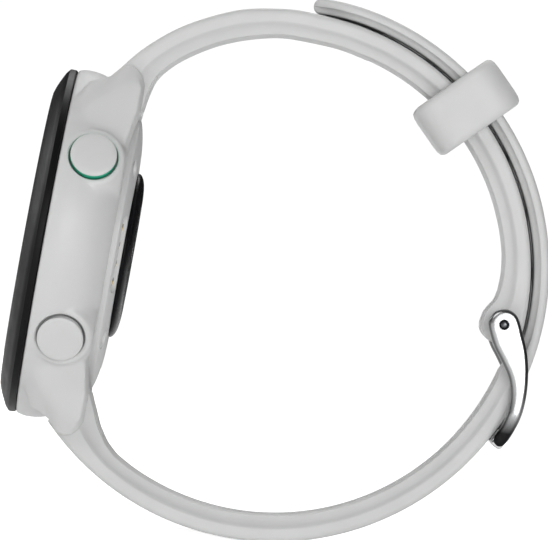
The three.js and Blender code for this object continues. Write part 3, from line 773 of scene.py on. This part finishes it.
# ---- buttons ----
def button_cap(name):
    skirt = 2.1 if name == "start" else 2.6
    rim = spline([(2.7, -0.44), (2.745, -0.38), (2.74, -0.3), (2.66, -0.2), (2.5, -0.13)], 4)
    profile = [(0, -5.4), (0.8, -5.4), (0.8, -1.35), (skirt, -1.35), (skirt, -0.45), (2.66, -0.45)] + rim
    profile += [(2.2, -0.085), (1.8, -0.055), (1.2, -0.025), (0.6, -0.006), (0, 0)]
    return smooth(turned(f"{name}_button_cap", profile, SHELL, button_place(name), 96), 40)


def accent_ring():
    corners = [(2.12, -1.4), (2.74, -1.4), (2.74, -0.47), (2.12, -0.47)]
    profile = fillet(corners, 0.05, 5, closed=True)
    return smooth(turned("start_button_accent", profile, ACCENT, button_place("start"), 96), 50)


# ---- strap ----
def interpolate(table, deg):
    """Reads a radius off a list of (angle, radius) points."""
    degs, radii = zip(*sorted(table))
    return float(np.interp(deg, degs, radii))


def polar_curve(points):
    """A smooth curve through (y, z) points, as (angle, radius) points."""
    polar = [to_polar(y, z) for y, z in spline(points, 8)]
    return [(deg, r) for r, deg in polar]


# The upper half is round about the loop's centre in its middle. OUTSIDE and INSIDE lead from there, at 74
# degrees, to the lug. END is the inner face near the buckle pin, as (angle, radius) points.
UPPER_OUTSIDE = polar_curve([
    on_loop(30.3, 74), on_loop(30.35, 82), on_loop(30.5, 92), (12.9, 32.2), (8.57, 31.44), (5.89, 30.5),
    (3.3, 29.25), (0.81, 27.76), (-1.48, 25.96), (-3.57, 23.91), (-5.2, 21.85), (-6.15, 20.72),
])
UPPER_INSIDE = polar_curve([
    on_loop(27.25, 74), on_loop(27.28, 84), on_loop(27.4, 94), (12.52, 29.0), (10, 28.43), (7.52, 27.62),
    (5.2, 26.57), (2.98, 25.22), (0.9, 23.6), (-0.81, 21.6), (-1.5, 19.5), (-1.9, 16.95),
])
UPPER_END = [(-8.4, 26.6), (-7.9, 26.05), (-6.3, 25.5), (-4.1, 25.3), (-1.5, 25.45), (0.44, 25.9),
             (1.95, 26.42), (4.7, 26.8), (8.9, 27.08), (14, 27.25)]
# The lower half's inner face, as (angle, radius) points.
LOWER_INSIDE = [(-135.3, 26.5), (-131, 27.35), (-127.5, 28.2), (-123.5, 28.95), (-120, 29.3), (-115, 29.37),
                (-14, 29.37), (-12, 29.6), (-8, 30.35), (-5.5, 30.68), (92, 30.72)]


def knuckle(deg):
    """Half the thickness of the round end about the buckle pin, seen from the loop's centre."""
    reach, at = to_polar(*PIN)
    lean = math.radians(deg - at)
    inside = (UPPER_OUTER - reach) ** 2 - (reach * math.sin(lean)) ** 2
    return reach * math.cos(lean), math.sqrt(max(inside, 0))


def upper_section(deg):
    """The upper half's inner and outer radius at this angle."""
    pin_deg = to_polar(*PIN)[1]
    if deg < pin_deg:
        middle, half = knuckle(deg)
        outer = middle + half
        bottom = interpolate(UPPER_END, deg)
        inner = min(outer - 0.05, max(bottom, middle - half * 1.15))
        return inner, outer
    outer = UPPER_OUTER if deg < 76 else interpolate(UPPER_OUTSIDE, deg)
    inner = interpolate(UPPER_END, deg) if deg < 76 else interpolate(UPPER_INSIDE, deg)
    return inner, outer


def lower_section(deg):
    """The lower half's inner and outer radius at this angle, closing round at the tail's end."""
    outer = LOWER_OUTER
    inner = interpolate(LOWER_INSIDE, deg)
    to_tip = math.radians(TAIL_DEG - deg) * 31.6
    if to_tip < 0.9:
        close = 1 - math.sqrt(max(0, 1 - (1 - max(to_tip, 0) / 0.9) ** 2))
        middle = (outer + inner) / 2
        inner, outer = inner + (middle - inner) * close * 0.96, outer + (middle - outer) * close * 0.96
    return inner, outer


def strap_half_width(y):
    """Both halves narrow a little away from the case."""
    return 10 - 0.6 * min(1, max(0, (y - 2) / 20))


def lower_half_width(y, deg):
    """The lower half's width, with the tail's rounded end."""
    full = strap_half_width(y)
    to_tip = math.radians(TAIL_DEG - deg) * 32
    if to_tip > 8:
        return full
    return max(0.35, full * math.sqrt(max(0, 1 - (1 - to_tip / 8) ** 2.4)))


def band_ring(deg, inner, outer, half):
    """One cross-section: soft outer corners, flat sides and a hollow chamfer down to the inner face."""
    thick = outer - inner
    corner = min(0.55, thick * 0.3)
    chamfer = min(1.25, half * 0.3)
    crease = thick * 0.5
    outer_corner = [(half - 2.6, thick + 0.03), (half - 1.4, thick), (half - corner, thick - corner * 0.1),
                    (half - corner * 0.42, thick - corner * 0.32),
                    (half - corner * 0.1, thick - corner * 0.75)]
    flat = [(half, thick - corner * 1.25), (half, crease + 0.16), (half - 0.02, crease + 0.04)]
    hollow = [(half - 0.1, crease - 0.1), (half - chamfer * 0.4, crease * 0.81),
              (half - chamfer * 0.66, crease * 0.58), (half - chamfer * 0.82, crease * 0.32)]
    inner_corner = [(half - chamfer + 0.12, 0.14), (half - chamfer - 0.1, 0.03), (half - chamfer - 0.4, 0)]
    side = outer_corner + flat + hollow + inner_corner
    side = [(max(x, 0.02 * (i + 1)), h) for i, (x, h) in enumerate(side)] if half < 3 else side
    row = side + [(0, 0)] + [(-x, h) for x, h in reversed(side)] + [(0, thick + 0.05)]
    out = []
    for x, height in row:
        y, z = on_loop(inner + height, deg)
        out.append((x, y, z))
    return out


def spaced(start, end, step, ease_start=0, ease_end=0):
    """Angles from start to end, closer together where an end is rounded."""
    degs = list(np.arange(start + ease_start, end - ease_end, step)) + [end - ease_end]
    head, tail = [], []
    if ease_start:
        head = [start + ease_start * (1 - math.cos(math.pi / 2 * k / 10)) for k in range(10)]
    if ease_end:
        tail = [end - ease_end * (1 - math.sin(math.pi / 2 * k / 14)) for k in range(1, 15)]
    return head + degs + tail


def hole_cutter(deg):
    """An oblong hole with flared rims, through the strap at this angle."""
    inner_flare = [(28.5, 0.5), (29.3, 0.32), (29.6, 0.08), (30.2, 0)]
    outer_flare = [(32.0, 0), (32.3, 0.08), (32.56, 0.3), (33.3, 0.6)]
    rows = []
    for r, grow in inner_flare + outer_flare:
        row = []
        for a, b in rounded_rect(HOLE_HALF[0] + grow, HOLE_HALF[1] + grow, 1.2 + grow, 8):
            y, z = on_loop(r, deg)
            t = math.radians(deg)
            row.append((a, y - b * math.sin(t), z + b * math.cos(t)))
        rows.append(row)
    return tube_grid("hole", rows)


def knob_notch(sign):
    """Room in the strap end for the spring bar's release knob and its travel."""
    z = sign * BAR[1]
    corners = [(BAR[0] - 0.3, z - 1.25), (2, z - 1.25), (2, z + 1.25), (BAR[0] - 0.3, z + 1.25)]
    return plate("notch", corners, 4.95, 8.4, edge=0.1)


def upper_strap():
    pin_deg = to_polar(*PIN)[1]
    reach = math.degrees(math.asin((UPPER_OUTER - to_polar(*PIN)[0]) / to_polar(*PIN)[0]))
    degs = spaced(pin_deg - reach * 0.995, 140.7, SECTION_STEP_DEG, ease_start=reach)
    rows = []
    for deg in degs:
        inner, outer = upper_section(deg)
        rows.append(band_ring(deg, inner, outer, strap_half_width(on_loop(29, deg)[0])))
    strap = tube_grid("upper_strap", rows, STRAP)
    tongue_slot = plate("tongue_slot", [(40, -4), (49, -4), (49, 3.2), (40, 3.2)], -1.5, 1.5, edge=0.3)
    bore = rod_x(*PIN, 0.75, -12, 12)
    bar = rod_x(BAR[0], BAR[1], 1.05, -12, 12)
    return smooth(cut(strap, [tongue_slot, bore, bar, knob_notch(1)]), 42)


def lower_strap():
    rows = []
    for deg in spaced(-135.7, TAIL_DEG, SECTION_STEP_DEG, ease_end=14.3):
        inner, outer = lower_section(deg)
        rows.append(band_ring(deg, inner, outer, lower_half_width(on_loop(31, deg)[0], deg)))
    strap = tube_grid("lower_strap", rows, STRAP)
    holes = joined([hole_cutter(HOLE_DEG + i * HOLE_PITCH_DEG) for i in range(-6, 7)])
    bar = rod_x(BAR[0], -BAR[1], 1.05, -12, 12)
    return smooth(cut(strap, [holes, bar, knob_notch(-1)]), 42)


def keeper_loop():
    """The loop that holds the tail: a rounded frame swept round the strap."""
    half_high, half_wide, half_long, wall = 5.7, 11.7, 3.25, 1.9
    tilt_deg = 5.4
    lean = math.radians(KEEPER_DEG - tilt_deg)
    radial = Vector((0, math.cos(lean), math.sin(lean)))
    along = Vector((0, -math.sin(lean), math.cos(lean)))
    middle = Vector((0, *on_loop(29.7, KEEPER_DEG)))
    outer = rounded_rect(half_high, half_wide, 3.2, 12)
    inner = rounded_rect(half_high - wall, half_wide - wall, 0.7, 12)
    edge = [(0, 0.0), (0, 0.5), (0.03, 0.75), (0.12, 0.9), (0.3, 0.98), (0.5, 1.0)]
    section = edge + [(1 - t, s) for t, s in reversed(edge)]
    section += [(1 - t, -s) for t, s in edge[1:]] + [(t, -s) for t, s in reversed(edge[1:])]
    rows = []
    for (a0, b0), (a1, b1) in zip(outer, inner):
        row = []
        for t, s in section:
            a, b = a0 + (a1 - a0) * t, b0 + (b1 - b0) * t
            p = middle + radial * a + along * (s * half_long) + Vector((b, 0, 0))
            row.append(tuple(p))
        rows.append(row)
    return smooth(tube_grid("keeper_loop", rows, STRAP, closed=True), 60)


# ---- buckle ----
def arm_outline():
    """An arm from the side: round about the pin, then an S down to the crossbar."""
    turns = [math.radians(deg) for deg in range(205, 24, -30)]
    eye = [(PIN[0] + ARM_EYE_R * math.cos(a), PIN[1] + ARM_EYE_R * math.sin(a)) for a in turns]
    outside = [(47.3, -0.8), (48.1, -2.7), (48.7, -5.2), (48.95, -7.8), (48.8, -10.2), (48.2, -12.3)]
    end = [(47.5, -13.8), (46.85, -14.25), (46.2, -13.85), (46.15, -13.0)]
    inside = [(46.8, -11.6), (47.15, -9.8), (47.1, -7.9), (46.5, -6.0), (45.3, -4.2), (44.1, -2.6)]
    return spline(eye + outside + end + inside, 6, closed=True)


def buckle_arm(side):
    """One arm: soft edges all round, its outer face turning in towards the crossbar."""
    x0, x1 = sorted(side * x for x in ARM_X)
    arm = plate("buckle_arm", arm_outline(), x0, x1, edge=0.6, steps=6)
    fine_remesh(arm, size=0.09, iterations=5)
    for vert in arm.data.vertices:
        outer = ease(abs(vert.co.x) / MM, 10.0, 11.2)
        vert.co.x -= side * 0.8 * MM * outer * ease(-vert.co.z / MM, 10.0, 14.2)
    rows = []
    for x, r in ((9, 0.52), (11.2, 0.52), (11.4, 0.62), (12, 0.9)):
        rows.append([(side * x, y, z) for y, z in circle(PIN, r, 40)])
    cut(arm, [tube_grid("eye", rows)])
    arm.data.materials.clear()
    arm.data.materials.append(ARM_STEEL_PAINTED_REFLECTION)
    return arm


def buckle_arms():
    return smooth(joined_as("buckle_arms", [buckle_arm(1), buckle_arm(-1)]), 50)


def on_crossbar(a, b):
    """The (y, z) point a outwards and b along the loop from the crossbar's middle."""
    y, z = on_loop(*CROSSBAR)
    lean = math.radians(CROSSBAR[1])
    return y + a * math.cos(lean) - b * math.sin(lean), z + a * math.sin(lean) + b * math.cos(lean)


def buckle_crossbar():
    """The bar between the arms, with a flat for the tongue's tip."""
    outline = [on_crossbar(a, b) for a, b in rounded_rect(0.73, 1.1, 0.5)]
    bar = plate("buckle_crossbar", outline, -10.1, 10.1, POLISHED, edge=0.2)
    rest = [on_crossbar(a, b) for a, b in ((-0.3, -3), (3, -3), (3, 3), (-0.3, 3))]
    return smooth(cut(bar, [plate("rest", rest, -1.2, 1.2, edge=0.1)]), 50)


def buckle_pin():
    half = [(0, 0.5), (10.8, 0.5), (10.92, 0.47), (11.02, 0.38), (11.08, 0.24), (11.1, 0.08)]
    whole = [(-x, r) for x, r in reversed(half[1:])] + half
    rows = [[(x, y, z) for y, z in circle(PIN, r, 40)] for x, r in whole]
    # The pin's dark steel is painted shade for the hole round its end.
    return smooth(tube_grid("buckle_cross_pin", rows, DARK_STEEL_PAINTED_SHADE), 50)


def tongue():
    """The tongue: an eye on the pin, and a thin bent bar through the strap's hole to the crossbar."""
    path = spline([on_loop(28.6, -5), on_loop(29.6, -7.4), on_loop(31.4, -11.2), on_loop(33.0, -15.6),
                   on_loop(33.3, -21.5), on_loop(33.75, -28.4)], 8)
    upper, lower = [], []
    count = len(path)
    for i, point in enumerate(path):
        p = Vector(point)
        tangent = (Vector(path[min(i + 1, count - 1)]) - Vector(path[max(i - 1, 0)])).normalized()
        normal = Vector((-tangent.y, tangent.x))
        thin = 0.62 - 0.22 * ease(i / count, 0.25, 0.6)
        upper.append(tuple(p + normal * thin))
        lower.insert(0, tuple(p - normal * thin))
    bar = plate("bar", upper + lower, -0.9, 0.9, POLISHED, edge=0.25)
    eye = plate("eye", circle(PIN, 1.6, 48), -0.9, 0.9, POLISHED, edge=0.2)
    cut(eye, [rod_x(*PIN, 0.7, -3, 3)])
    return smooth(joined_as("tongue_bar", [bar, eye]), 50)


# ---- stage ----
def add_camera():
    """At the 3 o'clock side, level with the strap loop, rolled so that the watch leans."""
    lean = math.radians(WATCH_LEAN_DEG)
    across = Vector((0, math.cos(lean), math.sin(lean)))
    up = Vector((0, -math.sin(lean), math.cos(lean)))
    data = bpy.data.cameras.new("camera")
    camera = bpy.data.objects.new("camera", data)
    bpy.context.collection.objects.link(camera)
    distance = 1.15
    width_in_view = 65.39 * MM
    data.sensor_width = 36
    data.lens = data.sensor_width * distance / width_in_view
    data.clip_start, data.clip_end = 0.05, 20
    rotation = Matrix((across, up, across.cross(up))).transposed()
    camera.matrix_world = Matrix.Translation((distance, 16.92 * MM, 1.51 * MM)) @ rotation.to_4x4()
    bpy.context.scene.camera = camera


def add_light(name, location, size, power):
    """A soft rectangular light aimed at the middle of the strap loop."""
    data = bpy.data.lights.new(name, "AREA")
    data.shape = "RECTANGLE"
    data.size, data.size_y = size
    data.energy = power
    light = bpy.data.objects.new(name, data)
    bpy.context.collection.objects.link(light)
    light.location = location
    aim = Vector((0, LOOP[0] * MM, 0)) - Vector(location)
    light.rotation_euler = aim.to_track_quat("-Z", "Y").to_euler()


def add_floor():
    """A pale matte floor that brightens away from the watch, like a studio sweep."""
    material, tree, shader = new_material("floor_white")
    stops = [(0.3, (0.86, 0.86, 0.86)), (0.7, (0.9, 0.9, 0.9))]
    tree.links.new(ramp(tree, noise(tree, 20), stops), shader.inputs["Base Color"])
    shader.inputs["Roughness"].default_value = 0.9
    shader.inputs["Emission Color"].default_value = (1, 1, 1, 1)
    distance = tree.nodes.new("ShaderNodeVectorMath")
    distance.operation = "LENGTH"
    tree.links.new(coordinates(tree, "Object"), distance.inputs[0])
    path = tree.nodes.new("ShaderNodeLightPath")
    sweep = spread(tree, distance.outputs["Value"], 0.72, 1.0, 0.035, 0.2)
    spill = spread(tree, path.outputs["Is Camera Ray"], 0.28, 1.0, 0.0, 1.0)
    tree.links.new(calculate(tree, "MULTIPLY", sweep, spill), shader.inputs["Emission Strength"])
    size, level = 1300, -30.9
    corners = [(-size, -size, level), (size, -size, level), (size, size, level), (-size, size, level)]
    floor = make_object("floor", corners, [[0, 1, 2, 3]], material)


def add_world():
    """A studio bright overhead and on the 3 o'clock side, softer on the wrist side, and dim elsewhere."""
    world = bpy.data.worlds.new("studio")
    bpy.context.scene.world = world
    world.use_nodes = True
    tree = world.node_tree
    background = tree.nodes["Background"]
    direction = split_axes(tree, coordinates(tree, "Generated"))
    dim = 0.12
    right = spread(tree, direction["X"], dim, 1.0, 0.5, 0.9)
    behind = spread(tree, direction["Y"], dim, 0.6, 0.55, 0.95)
    overhead = spread(tree, direction["Z"], dim, 1.5, 0.0, 0.75)
    around = calculate(tree, "MAXIMUM", right, behind)
    tree.links.new(calculate(tree, "MAXIMUM", around, overhead), background.inputs["Strength"])
    seen = tree.nodes.new("ShaderNodeBackground")
    seen.inputs["Color"].default_value = (1, 1, 1, 1)
    seen.inputs["Strength"].default_value = 1.05
    path = tree.nodes.new("ShaderNodeLightPath")
    mix = tree.nodes.new("ShaderNodeMixShader")
    tree.links.new(path.outputs["Is Camera Ray"], mix.inputs["Fac"])
    tree.links.new(background.outputs["Background"], mix.inputs[1])
    tree.links.new(seen.outputs["Background"], mix.inputs[2])
    tree.links.new(mix.outputs["Shader"], tree.nodes["World Output"].inputs["Surface"])


def stand_in(piece, body, slot, *nodes):
    """Rides a piece on its body and lets it stand for CAD nodes, where it does."""
    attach(piece, body)
    if nodes:
        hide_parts(*nodes)


def dress(node, material):
    """Gives a CAD node that stays visible its material."""
    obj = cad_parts[node]
    obj.data.materials.clear()
    obj.data.materials.append(material)


# ---- put it together ----
stand_in(case_body(), "watch_case", "shell", "case")
stand_in(bezel_ring(), "watch_case", "bezel", "bezel")
stand_in(lens_disc(lens_glass()), "watch_case", "lens", "lens")
stand_in(minute_marks(), "watch_case", "display")
stand_in(dial_digits(), "watch_case", "display")
track = step_track()
stand_in(joined_as("dial_track_lit", track[:TRACK_LIT]), "watch_case", "display")
stand_in(joined_as("dial_track_rest", track[TRACK_LIT:]), "watch_case", "display")
stand_in(rear_cover(), "watch_case", "shell", "rear_cover")
stand_in(sensor_dome(), "watch_case", "sensor_gloss", "sensor_window")
for pane in sensor_panes():
    stand_in(pane, "watch_case", "sensor_gloss")
stand_in(port_block(), "watch_case", "chassis", "charge_port")
for i in range(4):
    stand_in(contact(i), "watch_case", "gold", f"charge_contact_{i + 1}")
    stand_in(rear_screw(i), "watch_case", "steel", f"rear_screw_{i + 1}")
for name in BUTTONS:
    stand_in(button_cap(name), f"{name}_button", "shell", f"{name}_button")
    dress(f"{name}_button_seal", BLACK)
    dress(f"{name}_button_clip", STEEL)
    dress(f"{name}_switch", CHASSIS)
stand_in(accent_ring(), "start_button", "accent", "start_accent_ring")
stand_in(upper_strap(), "upper_band", "strap_silicone", "upper_band")
stand_in(lower_strap(), "lower_band", "strap_silicone", "lower_band")
stand_in(keeper_loop(), "keeper", "strap_silicone", "keeper")
stand_in(buckle_arms(), "buckle", "polished_steel", "buckle_frame")
stand_in(buckle_crossbar(), "buckle", "polished_steel")
stand_in(buckle_pin(), "buckle", "polished_steel", "buckle_pin")
stand_in(tongue(), "tongue", "polished_steel", "buckle_tongue")
FINISHES = {
    "lens_gasket": BLACK, "dial_ring": BEZEL, "display": DISPLAY, "display_frame": CHASSIS,
    "main_board": BOARD, "shield_can": STEEL, "gps_antenna": CHASSIS, "battery": FOIL,
    "vibration_motor": STEEL, "beeper": CHASSIS, "sensor_board": BOARD, "sensor_emitters": GOLD,
    "rear_seal": BLACK, "upper_bar_barrel": STEEL, "upper_bar_slider": STEEL,
    "lower_bar_barrel": STEEL, "lower_bar_slider": STEEL,
}
for node, material in FINISHES.items():
    dress(node, material)

add_camera()
add_world()
add_floor()
add_light("side", (1.8, 0.6, 0.3), (1.1, 0.9), 18.5)
add_light("key", (0.8, -0.9, 0.9), (0.8, 0.8), 6)
add_light("front", (-0.6, -1.2, 0.35), (0.8, 0.6), 5)
add_light("far_side", (-0.9, 0.1, 1.1), (1.0, 1.0), 9)
bpy.context.scene.view_settings.view_transform = "Standard"
